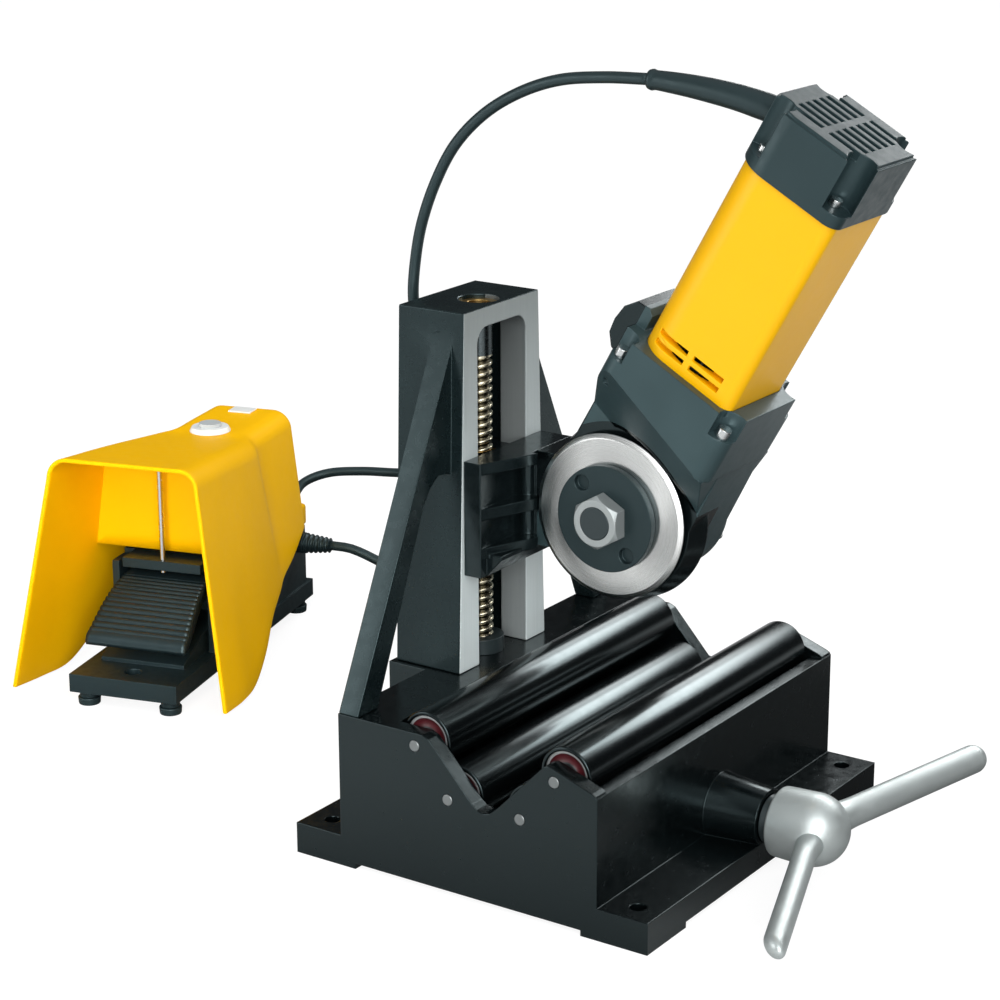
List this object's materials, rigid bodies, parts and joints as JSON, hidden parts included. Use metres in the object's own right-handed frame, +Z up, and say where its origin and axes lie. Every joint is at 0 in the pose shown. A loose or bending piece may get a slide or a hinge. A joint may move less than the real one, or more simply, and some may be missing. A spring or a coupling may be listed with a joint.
{
  "type": "pipe cutting machine",
  "caption": "Bench pipe cutting machine: pipe rollers in a cast trough, a powered cutter wheel on a screw-fed carriage, and a hooded foot switch.",
  "frame": {"origin": "middle of the four bench holes, on the bench under the base", "axes": "+X across the pipe towards the feed handle, +Y along the pipe to the rear, +Z up"},
  "size_m": [0.7616, 0.5064, 0.5262],
  "materials": {
    "black_casting": "gloss black paint on a cast light alloy",
    "grey_casting": "satin dark grey paint on a cast light alloy",
    "drive_casting": "satin black paint on a cast light alloy",
    "handle_alloy": "satin light grey",
    "roller_coat": "gloss black",
    "seal_red": "dull dark red",
    "steel": "turned steel",
    "dark_steel": "blackened steel",
    "polished_steel": "ground and polished",
    "bronze": "turned bronze",
    "motor_yellow": "smooth yellow plastic",
    "cap_slate": "satin slate plastic",
    "black_plastic": "satin black plastic",
    "white_plastic": "smooth white plastic",
    "cable_rubber": "matt black rubber",
    "winding": "laminations and copper wire"
  },
  "bodies": {
    "frame": {"base_casting": "black_casting", "column_casting": "grey_casting", "column_screws": "dark_steel", "top_bush": "bronze", "thrust_bearing": "steel", "feed_bushes": "bronze", "roller_axles": "steel", "foot_switch_base": "black_plastic", "foot_switch_feet": "cable_rubber", "foot_switch_hood": "motor_yellow", "hood_stay_rod": "polished_steel", "hood_plug": "white_plastic", "button_collar": "white_plastic", "switch_block": "black_plastic", "pedal_spring": "steel", "cable_glands": "black_plastic", "motor_cable": "cable_rubber", "mains_cable": "cable_rubber", "mains_coil": "cable_rubber", "mains_plug": "black_plastic"},
    "upper_left_roller": {"roller_upper_left": "roller_coat", "bearings_upper_left": "seal_red"},
    "upper_right_roller": {"roller_upper_right": "roller_coat", "bearings_upper_right": "seal_red"},
    "lower_left_roller": {"roller_lower_left": "roller_coat", "bearings_lower_left": "seal_red"},
    "lower_right_roller": {"roller_lower_right": "roller_coat", "bearings_lower_right": "seal_red"},
    "feed_handle": {"feed_shaft": "steel", "feed_pinion": "dark_steel", "shaft_collar": "dark_steel", "handle_hub": "handle_alloy", "handle_arms": "handle_alloy"},
    "feed_screw": {"lead_screw": "steel", "screw_gear": "dark_steel"},
    "carriage": {"carriage_casting": "drive_casting", "lead_nut": "bronze", "carriage_bolts": "dark_steel", "gear_housing": "drive_casting", "gear_case_cover": "drive_casting", "cover_screws": "steel", "neck_screws": "steel", "motor_housing": "motor_yellow", "motor_end_cap": "cap_slate", "end_cap_screws": "steel", "stator": "winding", "carbon_brushes": "black_plastic", "spindle_bearings": "steel", "motor_bearings": "steel", "cable_sleeve": "cable_rubber"},
    "cutter": {"cutter_wheel": "polished_steel", "wheel_flange": "dark_steel", "wheel_nut": "steel", "spindle": "steel", "crown_gear": "dark_steel"},
    "rotor": {"armature": "winding", "cooling_fan": "black_plastic", "motor_pinion": "dark_steel"},
    "pedal": {"foot_pedal": "black_plastic"},
    "button": {"reset_button": "polished_steel"}
  },
  "joints": [
    {"name": "carriage_slide", "type": "slide", "parent": "frame", "child": "carriage", "axis": [0, 0, 1], "range_m": [-0.06, 0.06], "deforming": ["motor_cable"]},
    {"name": "screw_turn", "type": "hinge", "parent": "frame", "child": "feed_screw", "pos_m": [-0.095, 0, 0.2], "axis": [0, 0, 1], "range_deg": [-3650, 3650]},
    {"name": "handle_turn", "type": "hinge", "parent": "frame", "child": "feed_handle", "pos_m": [0.1, 0, 0.0365], "axis": [1, 0, 0], "range_deg": [-3650, 3650]},
    {"name": "wheel_spin", "type": "hinge", "parent": "carriage", "child": "cutter", "pos_m": [0.015, 0, 0.228], "axis": [0, 1, 0], "continuous": true},
    {"name": "rotor_spin", "type": "hinge", "parent": "carriage", "child": "rotor", "pos_m": [0.015, 0.022, 0.228], "axis": [0.4879, 0, 0.8729], "continuous": true},
    {"name": "upper_left_spin", "type": "hinge", "parent": "frame", "child": "upper_left_roller", "pos_m": [-0.0395, 0, 0.101], "axis": [0, 1, 0], "continuous": true},
    {"name": "upper_right_spin", "type": "hinge", "parent": "frame", "child": "upper_right_roller", "pos_m": [0.0695, 0, 0.101], "axis": [0, 1, 0], "continuous": true},
    {"name": "lower_left_spin", "type": "hinge", "parent": "frame", "child": "lower_left_roller", "pos_m": [-0.0133, 0, 0.069], "axis": [0, 1, 0], "continuous": true},
    {"name": "lower_right_spin", "type": "hinge", "parent": "frame", "child": "lower_right_roller", "pos_m": [0.0433, 0, 0.069], "axis": [0, 1, 0], "continuous": true},
    {"name": "pedal_press", "type": "hinge", "parent": "frame", "child": "pedal", "pos_m": [-0.43791, 0.06002, 0.079], "axis": [0.9636, 0.2672, 0], "range_deg": [0, 10], "stiffness_Nm_per_rad": 4, "springref_deg": -6.88, "deforming": ["pedal_spring"]},
    {"name": "button_press", "type": "slide", "parent": "frame", "child": "button", "axis": [0, 0, -1], "range_m": [0, 0.005], "stiffness_N_per_m": 800, "springref_m": -0.002}
  ],
  "couplings": [
    {"joint": "screw_turn", "follows": "carriage_slide", "rad_per_m": -1047.2},
    {"joint": "handle_turn", "follows": "carriage_slide", "rad_per_m": 1047.2},
    {"joint": "rotor_spin", "follows": "wheel_spin", "ratio": -5}
  ]
}
